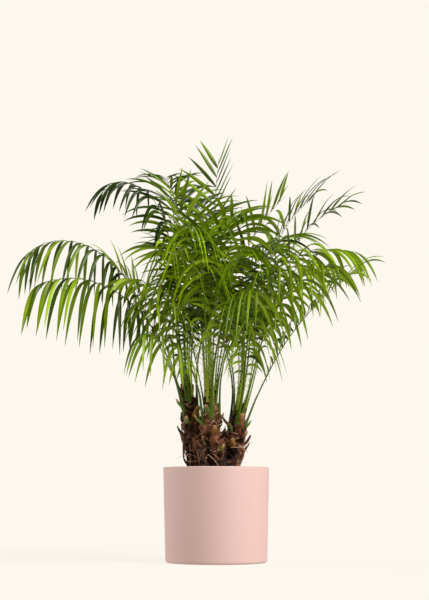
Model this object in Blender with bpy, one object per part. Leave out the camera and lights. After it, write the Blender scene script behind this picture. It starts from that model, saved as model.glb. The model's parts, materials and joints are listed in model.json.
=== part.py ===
"""Potted pygmy date palm: three stems that rise from one root clump in a plain tapered pot.

Metres, +Z up. The origin is the centre of the pot's flat underside, and +X is to the right of
someone who looks along +Y. Bearings are degrees from +X, turning towards +Y, so 270 faces the
viewer. A lean is degrees from upright, so a lean past 90 droops.
"""

import math
import random
from typing import NamedTuple

import bmesh
import bpy
from mathutils import Vector
from mathutils.bvhtree import BVHTree

# Pot, a turned cylinder that narrows a little to its foot
POT_TOP_RADIUS = 0.1525
POT_FOOT_RADIUS = 0.1455
POT_HEIGHT = 0.270
POT_WALL = 0.0095
POT_FLOOR = 0.013
POT_FOOT_ROUND = 0.008
POT_LIP_ROUND = 0.0035
ROUND_STEPS = 2
POT_SIDES = 48

# Potting soil, a plug that fills the pot to just under its rim
SOIL_BELOW_RIM = 0.016
CLEARANCE = 0.0003
SOIL_TOP = POT_HEIGHT - SOIL_BELOW_RIM
STEM_FOOT = SOIL_TOP + CLEARANCE

# Stems
STEM_SIDES = 18
STEM_GIRTHS = ((0.0, 0.84), (0.10, 0.88), (0.32, 1.12), (0.50, 0.96), (0.74, 0.66), (1.0, 0.36))

# Stubs of the leaf stalks that were cut off, wound round each stem
GOLDEN_ANGLE = 137.5
STEM_TURN = 40.0
STUBS_A_STEM = 13
STUB_LOWEST, STUB_HIGHEST = 0.12, 0.70
STUB_ROOT = (0.0085, 0.0045)
STUB_TIP = (0.0050, 0.0026)
STUB_LENGTH = (0.036, 0.052)
STUB_LEAN = (34, 56)
STUB_SINK = 0.45
STUB_CUT = 0.0016
SHORTEST_EDGE = 0.0001

# Fronds: a stalk, then a rib with leaflets on both sides
LEAFLET_PAIRS = 13
STALK_SHARE = 0.29
STALK_STATIONS = (0.0, 0.05, 0.16)
SEAT_LOWEST, SEAT_HIGHEST = 0.72, 0.985
UPRIGHT_BY = 0.35
RIB_WIDTHS = ((0.0, 0.0070), (0.05, 0.0060), (0.16, 0.0054), (0.45, 0.0040), (1.0, 0.0012))
RIB_DEPTHS = ((0.0, 0.0042), (0.05, 0.0044), (0.16, 0.0042), (0.45, 0.0034), (1.0, 0.0012))
# A rib swings a little to one side on its way, by an amount that differs from frond to frond
SWAY = 9.0
SWAY_STEP, SWAY_START = 2.4, 1.0

# Leaflets: three-sided blades with one bend, longest past halfway along the leafy part of the rib
LEAFLET_LONGEST = 0.24
LEAFLET_FULL_FROND = 0.66
LEAFLET_LENGTHS = ((0.0, 0.16), (0.2, 0.52), (0.45, 0.95), (0.62, 1.0), (0.85, 0.82), (1.0, 0.58))
LENGTH_SPREAD = (0.92, 1.04)
LEAFLET_WIDTH = 0.0125
LEAFLET_THICKNESS = 0.0023
LEAFLET_ROOT = 0.015
LEAFLET_BEND_AT = 0.42
LEAFLET_STEPS = 12
LEAFLET_OPENINGS = ((0.0, 44), (0.35, 70), (1.0, 32))
LEAFLET_LIFT = (30, 12)
LEAFLET_JITTER = 11.0
LIMP = (0.6, 7.0)
FULLY_LIMP, LIMP_POWER = 125, 3
LIMP_ALONG = ((0.0, 0.25), (0.4, 1.15), (1.0, 0.8))
LIMP_SPREAD = (0.6, 1.4)
YOUNG_STIFFER = 0.6
YOUNG_SHORTER = 0.35
LEAFLET_GAP = 0.0005

# Changes of lift and size that are tried in turn for a leaflet that would touch something
RETRIES = (
    (0, 1.0),
    (14, 1.0),
    (-14, 0.95),
    (28, 0.9),
    (-28, 0.8),
    (42, 0.75),
    (-42, 0.65),
    (10, 0.55),
    (-10, 0.45),
)

SEED = 11

# Spears, the closed young leaf at the heart of each stem
SPEAR_SIDES = 6
SPEAR_RADIUS = 0.0042
SPEAR_GIRTHS = ((0.0, 0.75), (0.35, 1.0))


class Stem(NamedTuple):
    """One stem: where its axis starts at the soil and ends, its radius, and the length of its spear."""

    foot: tuple
    tip: tuple
    radius: float
    spear: float


class Frond(NamedTuple):
    """One frond: its bearing, its lean at the stem and at the tip, its length along the rib, and how
    late along it the bend comes."""

    bearing: float
    lean: float
    droop: float
    length: float
    bend: float


STEMS = {
    "left": Stem((-0.050, 0.018), (-0.088, 0.022, 0.512), 0.0275, 0.34),
    "centre": Stem((-0.008, -0.034), (-0.018, -0.040, 0.487), 0.0275, 0.38),
    "right": Stem((0.036, 0.014), (0.072, 0.016, 0.452), 0.0270, 0.34),
}

# Oldest and lowest first, because each is seated a little higher than the one before
FRONDS = {
    "left": (
        Frond(195, 9, 121, 0.66, 1.55),
        Frond(105, 15, 95, 0.68, 1.6),
        Frond(40, 11, 80, 0.66, 2.2),
        Frond(255, 3, 125, 0.62, 2.4),
        Frond(245, 5, 110, 0.40, 2.0),
        Frond(180, 10, 52, 0.47, 1.4),
        Frond(310, 8, 60, 0.57, 2.4),
        Frond(170, 20, 150, 0.80, 2.9),
        Frond(70, 6, 65, 0.66, 2.2),
        Frond(105, 4, 75, 0.81, 3.0),
        Frond(15, 3, 55, 0.54, 2.4),
        Frond(150, 1, 148, 0.81, 4.2),
    ),
    "centre": (
        Frond(220, 12, 120, 0.38, 1.7),
        Frond(350, 7, 80, 0.59, 1.8),
        Frond(100, 13, 90, 0.72, 1.7),
        Frond(290, 12, 115, 0.50, 1.8),
        Frond(325, 10, 100, 0.55, 1.9),
        Frond(185, 8, 85, 0.46, 2.2),
        Frond(40, 10, 75, 0.66, 2.0),
        Frond(265, 4, 125, 0.66, 2.5),
        Frond(90, 8, 60, 0.74, 2.2),
        Frond(300, 4, 90, 0.60, 2.6),
        Frond(225, 2, 42, 0.60, 2.4),
        Frond(120, 3, 60, 0.72, 3.0),
        Frond(0, 6, 46, 0.63, 1.8),
        Frond(50, 1, 12, 0.71, 3.0),
    ),
    "right": (
        Frond(0, 14, 56, 0.57, 1.0),
        Frond(150, 7, 55, 0.60, 1.6),
        Frond(280, 10, 120, 0.45, 1.8),
        Frond(85, 12, 95, 0.68, 1.8),
        Frond(325, 9, 95, 0.58, 2.0),
        Frond(210, 9, 75, 0.58, 2.0),
        Frond(10, 7, 108, 0.68, 2.6),
        Frond(20, 3, 55, 0.72, 2.6),
        Frond(40, 12, 85, 0.62, 2.0),
        Frond(275, 4, 125, 0.62, 2.5),
        Frond(355, 6, 70, 0.71, 2.3),
        Frond(175, 3, 65, 0.60, 2.2),
        Frond(70, 6, 60, 0.60, 1.8),
    ),
}


def clear_scene():
    for obj in list(bpy.data.objects):
        bpy.data.objects.remove(obj, do_unlink=True)


def material(name, colour, roughness, metallic=0.0):
    made = bpy.data.materials.new(name)
    made.use_nodes = True
    shader = made.node_tree.nodes["Principled BSDF"]
    shader.inputs["Base Color"].default_value = (*colour, 1.0)
    shader.inputs["Roughness"].default_value = roughness
    shader.inputs["Metallic"].default_value = metallic
    return made


def mesh_object(name, points, faces, finish, smooth_angle=None):
    mesh = bpy.data.meshes.new(name)
    mesh.from_pydata([tuple(p) for p in points], [], faces)
    mesh.validate()
    mesh.update()
    if smooth_angle is not None:
        mesh.shade_smooth()
        mesh.set_sharp_from_angle(angle=math.radians(smooth_angle))
    obj = bpy.data.objects.new(name, mesh)
    bpy.context.scene.collection.objects.link(obj)
    if finish is not None:
        mesh.materials.append(finish)
    return obj


def between(stops, at):
    """The value at a share of the way along, from a few (share, value) stops."""
    for (low, first), (high, last) in zip(stops, stops[1:]):
        if at <= high:
            return first + (last - first) * (at - low) / (high - low)
    return stops[-1][1]


def blend(ends, share):
    return ends[0] + (ends[1] - ends[0]) * share


def smooth_step(value):
    share = min(1.0, max(0.0, value))
    return share * share * (3.0 - 2.0 * share)


def arc(centre, radius, start, end, steps):
    """Points of an arc in the profile plane, as (radius, height) pairs, angles in degrees."""
    points = []
    for i in range(steps + 1):
        angle = math.radians(blend((start, end), i / steps))
        points.append((centre[0] + radius * math.cos(angle), centre[1] + radius * math.sin(angle)))
    return points


def turned(name, profile, sides, finish, smooth_angle=35):
    """A closed solid of revolution from a profile that runs from the axis, outwards and up, and back
    to the axis. Each end of the profile is closed by one flat face."""
    points, faces = [], []
    for radius, height in profile:
        for i in range(sides):
            angle = 2.0 * math.pi * i / sides
            points.append((radius * math.cos(angle), radius * math.sin(angle), height))
    for ring in range(len(profile) - 1):
        for i in range(sides):
            after = (i + 1) % sides
            low, high = ring * sides, (ring + 1) * sides
            faces.append((low + i, low + after, high + after, high + i))
    faces.append(tuple(reversed(range(sides))))
    last = (len(profile) - 1) * sides
    faces.append(tuple(range(last, last + sides)))
    return mesh_object(name, points, faces, finish, smooth_angle)


def inner_radius(height):
    """Radius of the pot's inside at a height, one wall in from its tapered outside."""
    return blend((POT_FOOT_RADIUS, POT_TOP_RADIUS), height / POT_HEIGHT) - POT_WALL


def make_pot(finish):
    foot = arc((POT_FOOT_RADIUS - POT_FOOT_ROUND, POT_FOOT_ROUND), POT_FOOT_ROUND, -90, 0, ROUND_STEPS)
    lip_centre = POT_HEIGHT - POT_LIP_ROUND
    outer_lip = arc((POT_TOP_RADIUS - POT_LIP_ROUND, lip_centre), POT_LIP_ROUND, 0, 90, ROUND_STEPS)
    inner_lip = arc(
        (POT_TOP_RADIUS - POT_WALL + POT_LIP_ROUND, lip_centre), POT_LIP_ROUND, 90, 180, ROUND_STEPS
    )
    inside = [(inner_radius(POT_FLOOR), POT_FLOOR)]
    return turned("pot", foot + outer_lip + inner_lip + inside, POT_SIDES, finish)


def make_soil(finish):
    bottom = POT_FLOOR + CLEARANCE
    profile = [
        (inner_radius(bottom) - CLEARANCE, bottom),
        (inner_radius(SOIL_TOP) - CLEARANCE, SOIL_TOP),
    ]
    return turned("soil", profile, POT_SIDES, finish)


def stem_axis(stem, rise):
    """Point on the stem's axis at a share of the way from the soil to its tip."""
    foot = Vector((*stem.foot, STEM_FOOT))
    return foot.lerp(Vector(stem.tip), rise)


def stem_radius(stem, rise):
    """Narrow at the soil, swollen with old stalk bases above it, and tapered to the tip."""
    return stem.radius * between(STEM_GIRTHS, rise)


def heading(bearing):
    """Level unit vector at a bearing."""
    return Vector((math.cos(math.radians(bearing)), math.sin(math.radians(bearing)), 0.0))


def stub_solid(stem, rise, bearing, length, lean):
    """One cut stalk: a four-sided block sunk in the stem, with a slanted cut at its end."""
    outwards = heading(bearing)
    side = Vector((-outwards.y, outwards.x, 0.0))
    along = Vector((0, 0, 1)) * math.cos(math.radians(lean)) + outwards * math.sin(math.radians(lean))
    inner = along.cross(side)
    root = stem_axis(stem, rise) + outwards * stem_radius(stem, rise) * STUB_SINK
    tip = root + along * length
    points = []
    for centre, (width, depth), slant in ((root, STUB_ROOT, 0.0), (tip, STUB_TIP, 1.0)):
        for across, through in ((1, 1), (-1, 1), (-1, -1), (1, -1)):
            cut = along * STUB_CUT * slant * through
            points.append(centre + side * width * across + inner * depth * through + cut)
    faces = [(3, 2, 1, 0), (4, 5, 6, 7), (0, 1, 5, 4), (1, 2, 6, 5), (2, 3, 7, 6), (3, 0, 4, 7)]
    return points, faces


def fuse(obj, collection):
    """Joins obj with every object of the collection, and removes them."""
    union = obj.modifiers.new("joined", "BOOLEAN")
    union.operation = "UNION"
    union.operand_type = "COLLECTION"
    union.collection = collection
    union.solver = "MANIFOLD"
    graph = bpy.context.evaluated_depsgraph_get()
    joined = bpy.data.meshes.new_from_object(obj.evaluated_get(graph))
    obj.modifiers.clear()
    obj.data = joined
    shape = bmesh.new()
    shape.from_mesh(joined)
    bmesh.ops.dissolve_degenerate(shape, dist=SHORTEST_EDGE, edges=shape.edges[:])
    bmesh.ops.triangulate(shape, faces=shape.faces[:])
    shape.to_mesh(joined)
    shape.free()
    for other in list(collection.objects):
        bpy.data.objects.remove(other, do_unlink=True)
    bpy.data.collections.remove(collection)


def stem_solid(stem):
    points, faces = [], []
    for rise, girth in STEM_GIRTHS:
        centre, radius = stem_axis(stem, rise), stem.radius * girth
        for i in range(STEM_SIDES):
            points.append(centre + heading(360.0 * i / STEM_SIDES) * radius)
    for ring in range(len(STEM_GIRTHS) - 1):
        for i in range(STEM_SIDES):
            after = (i + 1) % STEM_SIDES
            low, high = ring * STEM_SIDES, (ring + 1) * STEM_SIDES
            faces.append((low + i, low + after, high + after, high + i))
    faces.append(tuple(reversed(range(STEM_SIDES))))
    last = (len(STEM_GIRTHS) - 1) * STEM_SIDES
    faces.append(tuple(range(last, last + STEM_SIDES)))
    return points, faces


def make_trunks(shapes, finish, kept):
    """The stems, each fused with its stubs. A stub that would touch anything else is left out."""
    for order, (name, stem) in enumerate(STEMS.items()):
        owner = "trunk_" + name
        rng = random.Random(f"{SEED} {owner}")
        group = bpy.data.collections.new(owner + "_stubs")
        bpy.context.scene.collection.children.link(group)
        for i in range(STUBS_A_STEM):
            rise = blend((STUB_LOWEST, STUB_HIGHEST), i / (STUBS_A_STEM - 1))
            bearing = STEM_TURN * order + GOLDEN_ANGLE * i
            length, lean = rng.uniform(*STUB_LENGTH), rng.uniform(*STUB_LEAN)
            points, faces = stub_solid(stem, rise, bearing, length, lean)
            if kept.touches(owner, points, faces):
                continue
            kept.add(owner, points, faces)
            stub = mesh_object(f"{owner}_stub_{i}", points, faces, None)
            bpy.context.scene.collection.objects.unlink(stub)
            group.objects.link(stub)
        trunk = mesh_object(owner, *shapes[name], finish)
        fuse(trunk, group)
        trunk.data.materials.clear()
        trunk.data.materials.append(finish)


def make_spears(finish, kept):
    """The closed leaf that stands on each stem's tip: a slim spindle that ends in a point."""
    for name, stem in STEMS.items():
        rise = (Vector(stem.tip) - Vector((*stem.foot, STEM_FOOT))).normalized()
        foot = Vector(stem.tip) + Vector((0, 0, CLEARANCE))
        points, faces = [], []
        for height, girth in SPEAR_GIRTHS:
            centre = foot + (rise * height + Vector((0, 0, height))) * 0.5 * stem.spear
            for i in range(SPEAR_SIDES):
                points.append(centre + heading(360.0 * i / SPEAR_SIDES) * SPEAR_RADIUS * girth)
        points.append(foot + (rise + Vector((0, 0, 1))) * 0.5 * stem.spear)
        for i in range(SPEAR_SIDES):
            after = (i + 1) % SPEAR_SIDES
            faces.append((i, after, SPEAR_SIDES + after, SPEAR_SIDES + i))
            faces.append((SPEAR_SIDES + i, SPEAR_SIDES + after, 2 * SPEAR_SIDES))
        faces.append(tuple(reversed(range(SPEAR_SIDES))))
        kept.add("spear_" + name, points, faces)
        mesh_object("spear_" + name, points, faces, finish)


class Kept:
    """The space that is already taken, by owner, to keep each leaflet clear of its neighbours."""

    def __init__(self):
        self.taken = []

    def add(self, owner, points, faces):
        points = [Vector(p) for p in points]
        low = Vector([min(p[i] for p in points) for i in range(3)])
        high = Vector([max(p[i] for p in points) for i in range(3)])
        self.taken.append((owner, low, high, BVHTree.FromPolygons(points, faces)))

    def touches(self, owner, points, faces):
        """The first other owner that this shape would touch, or None."""
        low = [min(p[i] for p in points) for i in range(3)]
        high = [max(p[i] for p in points) for i in range(3)]
        tree = None
        for other, other_low, other_high, other_tree in self.taken:
            if other == owner or any(low[i] > other_high[i] or high[i] < other_low[i] for i in range(3)):
                continue
            tree = tree or BVHTree.FromPolygons(points, faces)
            if tree.overlap(other_tree):
                return other
        return None


def seat_bearing(fronds, order):
    """Where a frond sits round its stem. The seats are evenly spaced, in the order of the fronds'
    bearings, and turned together to lie as near those bearings as they can."""
    turned_order = sorted(range(len(fronds)), key=lambda i: fronds[i].bearing)
    step = 360.0 / len(fronds)
    lead = sum(fronds[i].bearing - step * rank for rank, i in enumerate(turned_order)) / len(fronds)
    return lead + step * turned_order.index(order)


class Rib:
    """A frond's rib: its line in space, and its own directions at any share of its length."""

    STEPS = 48

    def __init__(self, stem, fronds, order):
        self.frond = frond = fronds[order]
        self.youth = order / (len(fronds) - 1)
        self.limp = min(1.0, frond.droop / FULLY_LIMP) ** LIMP_POWER
        self.growth = (stem_axis(stem, 1.0) - stem_axis(stem, 0.0)).normalized()
        self.sway = SWAY * math.sin(SWAY_STEP * order + SWAY_START)
        rise = blend((SEAT_LOWEST, SEAT_HIGHEST), self.youth)
        seat = seat_bearing(fronds, order)
        turn = abs(math.sin(math.radians(seat - frond.bearing)))
        offset = stem_radius(stem, rise) + CLEARANCE + turn * RIB_WIDTHS[0][1] / 2.0
        self.points = [stem_axis(stem, rise) + heading(seat) * offset]
        for i in range(self.STEPS):
            tangent, _, _ = self.directions((i + 0.5) / self.STEPS)
            self.points.append(self.points[-1] + tangent * frond.length / self.STEPS)

    def directions(self, share):
        """Along the rib, to its left, and out of its upper face. The lean is taken from the stem's own
        direction at the seat, and from upright further out."""
        lean = math.radians(blend((self.frond.lean, self.frond.droop), share**self.frond.bend))
        outwards = heading(self.frond.bearing + self.sway * share)
        upright = self.growth.lerp(Vector((0, 0, 1)), smooth_step(share / UPRIGHT_BY)).normalized()
        along = (outwards * math.sin(lean) + upright * math.cos(lean)).normalized()
        left = (upright * math.sin(lean) - outwards * math.cos(lean)).cross(along).normalized()
        return along, left, along.cross(left)

    def at(self, share):
        place = min(share * self.STEPS, self.STEPS - 1e-6)
        i = int(place)
        return self.points[i].lerp(self.points[i + 1], place - i)

    def section(self, share):
        """The rib's three corners: left and right of its flat upper face, and its keel."""
        _, left, upper = self.directions(share)
        centre = self.at(share)
        half = between(RIB_WIDTHS, share) / 2.0
        return centre + left * half, centre - left * half, centre - upper * between(RIB_DEPTHS, share)


def leaflet_length(rib, share):
    """Length of a leaflet at a share of the way along the leafy part of the rib."""
    grown_up = 1.0 - YOUNG_SHORTER * rib.youth**2
    size = grown_up * math.sqrt(min(1.0, rib.frond.length / LEAFLET_FULL_FROND))
    return LEAFLET_LONGEST * size * between(LEAFLET_LENGTHS, share)


def leaflet_line(rib, share, side, lift_change, size, rng):
    """Points along a leaflet, which leaves the rib at an angle and then gives way to its weight."""
    leafy = (share - STALK_SHARE) / (1.0 - STALK_SHARE)
    along, left, upper = rib.directions(share)
    opening = math.radians(between(LEAFLET_OPENINGS, leafy) + rng.uniform(-1, 1) * LEAFLET_JITTER)
    lift = math.radians(blend(LEAFLET_LIFT, rib.limp) + rng.uniform(-1, 1) * LEAFLET_JITTER + lift_change)
    start = along * math.cos(opening)
    start += (left * side * math.cos(lift) + upper * math.sin(lift)) * math.sin(opening)
    limp = blend(LIMP, rib.limp) * between(LIMP_ALONG, leafy) * (1.0 - YOUNG_STIFFER * rib.youth)
    limp *= rng.uniform(*LIMP_SPREAD)
    length = leaflet_length(rib, leafy) * size * rng.uniform(*LENGTH_SPREAD)
    points, directions = [rib.at(share)], []
    for i in range(LEAFLET_STEPS):
        weight = limp * (i + 0.5) / LEAFLET_STEPS
        direction = (start - Vector((0, 0, weight))).normalized()
        directions.append(direction)
        points.append(points[-1] + direction * length / LEAFLET_STEPS)
    return points, directions


def split_outwards(points, a, b, c, d):
    """The two triangles of a four-cornered side, split along the diagonal that makes it bulge."""
    normal = (points[b] - points[a]).cross(points[c] - points[a])
    if (points[d] - points[a]).dot(normal) < 0:
        return [(a, b, c), (a, c, d)]
    return [(a, b, d), (b, c, d)]


def leaflet_faces(points):
    """The triangles of a leaflet's seven points: three sides from root to bend, then three to the tip."""
    sides = split_outwards(points, 0, 1, 4, 3) + split_outwards(points, 1, 2, 5, 4)
    sides += split_outwards(points, 2, 0, 3, 5)
    return sides + [(3, 4, 6), (4, 5, 6), (5, 3, 6)]


def leaflet_points(rib, root, line, directions, share, swell=0.0):
    """A leaflet's seven points: its root on the rib, its widest section at the bend, and its tip.
    swell makes it that much larger all round, to test for clearance."""
    bend = round(LEAFLET_BEND_AT * LEAFLET_STEPS)
    along, _, _ = rib.directions(share)
    direction = directions[bend]
    across = (along - direction * along.dot(direction)).normalized()
    through = across.cross(direction)
    if through.dot(root[0] - root[2]) < 0:
        through.negate()
    half = LEAFLET_WIDTH / 2.0 + swell
    middle = line[bend] + through * swell
    lifted = [corner + through * swell for corner in root[:2]] + [root[2] - through * swell]
    return lifted + [
        middle - across * half,
        middle + across * half,
        line[bend] - through * (LEAFLET_THICKNESS + swell),
        line[-1] + direction * swell,
    ]


def rib_stations(rib):
    """Shares of the rib's length where it has a section: two for each pair of leaflets, a root apart."""
    root = LEAFLET_ROOT / rib.frond.length
    stations = list(STALK_STATIONS)
    for i in range(LEAFLET_PAIRS):
        start = blend((STALK_SHARE, 1.0 - root), i / (LEAFLET_PAIRS - 1))
        stations += [start, start + root]
    return stations


def rib_solid(rib):
    """The rib alone: three corners at each station, closed at both ends."""
    points, faces = [], []
    for share in rib_stations(rib):
        points.extend(rib.section(share))
    count = len(points) // 3
    for i in range(count - 1):
        a, b, k = 3 * i, 3 * i + 1, 3 * i + 2
        faces += [(a, b, b + 3), (a, b + 3, a + 3)]
        faces += [(k, a, a + 3), (k, a + 3, k + 3)]
        faces += [(k, b + 3, b), (k, k + 3, b + 3)]
    faces.append((2, 1, 0))
    faces.append((3 * count - 3, 3 * count - 2, 3 * count - 1))
    return points, faces


def mirrored(seven):
    """A leaflet's seven points or names with front and back exchanged, which turns its faces round."""
    back, front, keel, mid_back, mid_front, below, tip = seven
    return [front, back, keel, mid_front, mid_back, below, tip]


def free_part(seven, side):
    """The four points beyond the root, always back before front."""
    return (seven if side > 0 else mirrored(seven))[3:]


def cuts_itself(points, faces, leaflet):
    """Whether a leaflet would cut the frond that it grows on, or itself, away from shared corners."""
    whole = BVHTree.FromPolygons(points, faces + leaflet)
    met = BVHTree.FromPolygons(points, leaflet).overlap(whole)
    return any(not set(leaflet[i]) & set((faces + leaflet)[j]) for i, j in met)


def make_frond(name, rib, kept, finish):
    """One frond: the rib with a leaflet drawn out of each of its side faces along the leafy part.
    A leaflet that would touch anything else is turned or shortened, and left out if that fails.
    Returns how many were left out."""
    rng = random.Random(f"{SEED} {name}")
    points, faces = rib_solid(rib)
    stations = rib_stations(rib)
    left_out = 0
    for i in range(len(STALK_STATIONS), len(stations), 2):
        share = (stations[i] + stations[i + 1]) / 2.0
        a, b, k = 3 * i, 3 * i + 1, 3 * i + 2
        for side, edge in ((1, a), (-1, b)):
            root = (edge, edge + 3, k)
            corners = [points[n] for n in root]
            rest = [face for face in faces if set(face) != set(root)]
            for lift_change, size in RETRIES:
                line, directions = leaflet_line(rib, share, side, lift_change, size, rng)
                made = leaflet_points(rib, corners, line, directions, share)
                test = leaflet_points(rib, corners, line, directions, share, LEAFLET_GAP)
                if side < 0:
                    made, test = mirrored(made), mirrored(test)
                drawn = leaflet_faces(made)
                names = (*root, *range(len(points), len(points) + 4))
                names = mirrored(names) if side < 0 else names
                leaflet = [tuple(names[n] for n in face) for face in drawn]
                if cuts_itself(points + free_part(made, side), rest, leaflet):
                    continue
                both = drawn + [tuple(n + len(made) for n in face) for face in drawn]
                if kept.touches(name, made + test, both) is None:
                    break
            else:
                left_out += 1
                continue
            points += free_part(made, side)
            faces = rest + leaflet
    kept.add(name, points, faces)
    mesh_object(name, points, faces, finish)
    return left_out


def set_out_ribs(kept):
    """All ribs are set out before any stub or leaflet, which then keeps clear of them."""
    ribs = {}
    for stem_name, stem in STEMS.items():
        for order in range(len(FRONDS[stem_name])):
            name = f"frond_{stem_name}_{order + 1:02d}"
            ribs[name] = Rib(stem, FRONDS[stem_name], order)
            kept.add(name, *rib_solid(ribs[name]))
    return ribs


def main():
    clear_scene()
    kept = Kept()
    pot = make_pot(material("pot", (0.80, 0.58, 0.53), 0.55))
    kept.add("pot", [v.co for v in pot.data.vertices], [tuple(p.vertices) for p in pot.data.polygons])
    make_soil(material("soil", (0.045, 0.030, 0.020), 0.95))
    stems = {name: stem_solid(stem) for name, stem in STEMS.items()}
    for name, shape in stems.items():
        kept.add("trunk_" + name, *shape)
    make_spears(material("spear", (0.30, 0.42, 0.10), 0.5), kept)
    ribs = set_out_ribs(kept)
    make_trunks(stems, material("trunk", (0.13, 0.075, 0.045), 0.9), kept)
    green = material("frond", (0.10, 0.24, 0.03), 0.45)
    left_out = sum(make_frond(name, rib, kept, green) for name, rib in ribs.items())
    print(f"{len(ribs)} fronds, {left_out} leaflets left out where they had no room")


if __name__ == "__main__":
    main()
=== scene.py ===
"""Potted pygmy date palm, dressed for rendering over its CAD solids.

Metres, +Z up. The origin is the centre of the pot's flat underside, and +X is to the right of
someone who looks along +Y. Bearings are degrees from +X, turning towards +Y, so 270 faces the
viewer. A lean is degrees from upright, so a lean past 90 droops. A rise is a share of the way up
a stem, and stops are (share, value) pairs that are read along a straight line between two of them.
"""

import json
import math
import random
from typing import NamedTuple

import bpy
import numpy as np
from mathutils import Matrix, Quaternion, Vector, noise

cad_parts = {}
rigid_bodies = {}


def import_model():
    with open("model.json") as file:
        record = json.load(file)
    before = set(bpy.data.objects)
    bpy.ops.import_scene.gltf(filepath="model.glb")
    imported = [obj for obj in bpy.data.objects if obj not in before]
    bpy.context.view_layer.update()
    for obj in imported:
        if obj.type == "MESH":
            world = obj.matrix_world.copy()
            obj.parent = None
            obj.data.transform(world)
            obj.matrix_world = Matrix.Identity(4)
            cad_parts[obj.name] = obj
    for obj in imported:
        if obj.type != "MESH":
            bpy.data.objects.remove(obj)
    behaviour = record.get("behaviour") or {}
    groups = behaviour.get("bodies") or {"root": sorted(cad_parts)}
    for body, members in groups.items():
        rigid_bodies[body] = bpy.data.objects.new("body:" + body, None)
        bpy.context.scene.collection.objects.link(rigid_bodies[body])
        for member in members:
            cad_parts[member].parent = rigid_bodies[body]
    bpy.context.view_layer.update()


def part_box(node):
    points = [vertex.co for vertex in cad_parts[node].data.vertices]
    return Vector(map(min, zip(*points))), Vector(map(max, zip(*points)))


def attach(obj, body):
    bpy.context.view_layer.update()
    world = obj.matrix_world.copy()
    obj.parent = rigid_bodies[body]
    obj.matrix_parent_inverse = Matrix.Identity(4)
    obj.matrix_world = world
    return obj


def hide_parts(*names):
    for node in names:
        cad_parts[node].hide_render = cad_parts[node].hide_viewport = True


bl_info = {
    "name": "Potted pygmy date palm",
    "version": (1, 0, 0),
    "blender": (4, 5, 0),
    "location": "3D View > Sidebar > Palm",
    "description": "Builds a three-stemmed pygmy date palm in a plain tapered pot",
    "category": "Add Mesh",
}

for startup_object in list(bpy.data.objects):
    bpy.data.objects.remove(startup_object, do_unlink=True)
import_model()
POT_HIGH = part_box("pot")[1]
SOIL_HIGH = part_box("soil")[1]
SEED = 11
UP = Vector((0.0, 0.0, 1.0))

# Soil, a lumpy top heaped round the stems, and the clump of roots between their feet
SOIL_RINGS, SOIL_SIDES = 34, 120
SOIL_DEPTH = 0.03
SOIL_LUMPS = 0.0032
SOIL_HEAP, SOIL_HEAP_SPREAD = 0.007, 0.0055
CLUMP_CENTRE = Vector((-0.006, -0.002, 0.0))
CLUMP_RADIUS, CLUMP_DEPTH_SHARE, CLUMP_TALL = 0.045, 0.62, 0.082

# Stems, with the same numbers as the solids
STEM_FOOT = SOIL_HIGH.z + 0.0003
STEM_GIRTHS = ((0.0, 0.84), (0.10, 0.88), (0.32, 1.12), (0.50, 0.96), (0.74, 0.66), (1.0, 0.36))
GOLDEN_ANGLE = 137.5
STUBS_A_STEM = 13
STUB_RISES = (0.12, 0.70)
STUB_ROOT = (0.0085, 0.0045)
STUB_TIP = (0.0050, 0.0026)
STUB_LENGTH = (0.036, 0.052)
STUB_LEAN = (34, 56)
# The skin of the stems: how rough it is, and the green sheaths that thicken its upper part
BARK_AROUND, BARK_UP = 84, 170
BARK_ROUGHNESS = 0.0024
BASE_HALF_ANGLE = math.radians(58.0)
SHEATH = 0.0045
SHEATH_RADIUS = 0.0185
# Dead leaf bases are longest and lean out most where the stem is widest
DEAD_RISES = (0.06, 0.62)
DEAD_BULGE, DEAD_BULGE_SPREAD = 0.33, 0.16
DEAD_ROOT_DEPTH, DEAD_TIP_DEPTH = 0.0042, 0.0018
STRAWS = 11
# The usual height of a stem, by which the length of a fibre becomes a rise
STEM_TALL = 0.24

# Fronds, with the same numbers as the solids
STALK_SHARE = 0.29
SEAT_RISES = (0.72, 0.985)
SEAT_GAP, SEAT_TURN = 0.0003, 0.0035
UPRIGHT_BY = 0.35
SWAY = 9.0
LEAFLET_LONGEST = 0.24
LEAFLET_FULL_FROND = 0.66
LEAFLET_LENGTHS = ((0.0, 0.16), (0.2, 0.52), (0.45, 0.95), (0.62, 1.0), (0.85, 0.82), (1.0, 0.58))
LEAFLET_OPENINGS = ((0.0, 44), (0.35, 70), (1.0, 32))
LEAFLET_LIFT = (30, 12)
LIMP = (0.6, 7.0)
FULLY_LIMP, LIMP_POWER = 125, 3
LIMP_ALONG = ((0.0, 0.25), (0.4, 1.15), (1.0, 0.8))
YOUNG_STIFFER = 0.6
YOUNG_SHORTER = 0.35
# Half widths of a stalk in metres, and those of a leaflet as shares of its widest
STALK_HALF_WIDTHS = ((0.0, 0.0062), (0.05, 0.0040), (0.16, 0.0027), (0.45, 0.0019), (1.0, 0.0005))
LEAFLET_OUTLINE = (
    (0.0, 0.30), (0.10, 0.66), (0.26, 0.97), (0.42, 1.0),
    (0.60, 0.84), (0.78, 0.56), (0.92, 0.24), (1.0, 0.03),
)
# The foot of a stalk below its seat, as (how far below, half width, how far out of the stem)
OLD_FEET = ((0.17, 0.0060, -0.0050), (0.12, 0.0080, 0.0010), (0.06, 0.0084, 0.0045), (0.02, 0.0078, 0.0058))
YOUNG_FEET = ((0.05, 0.0045, -0.0040), (0.015, 0.0058, -0.0010))
OLD_UNTIL, OLD_THICKER = 0.25, 1.25
STALK_SEGMENTS, LEAFLET_SEGMENTS = 26, 14
THORNS_A_STALK, THORN_LENGTH = 16, (0.012, 0.055)
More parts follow.
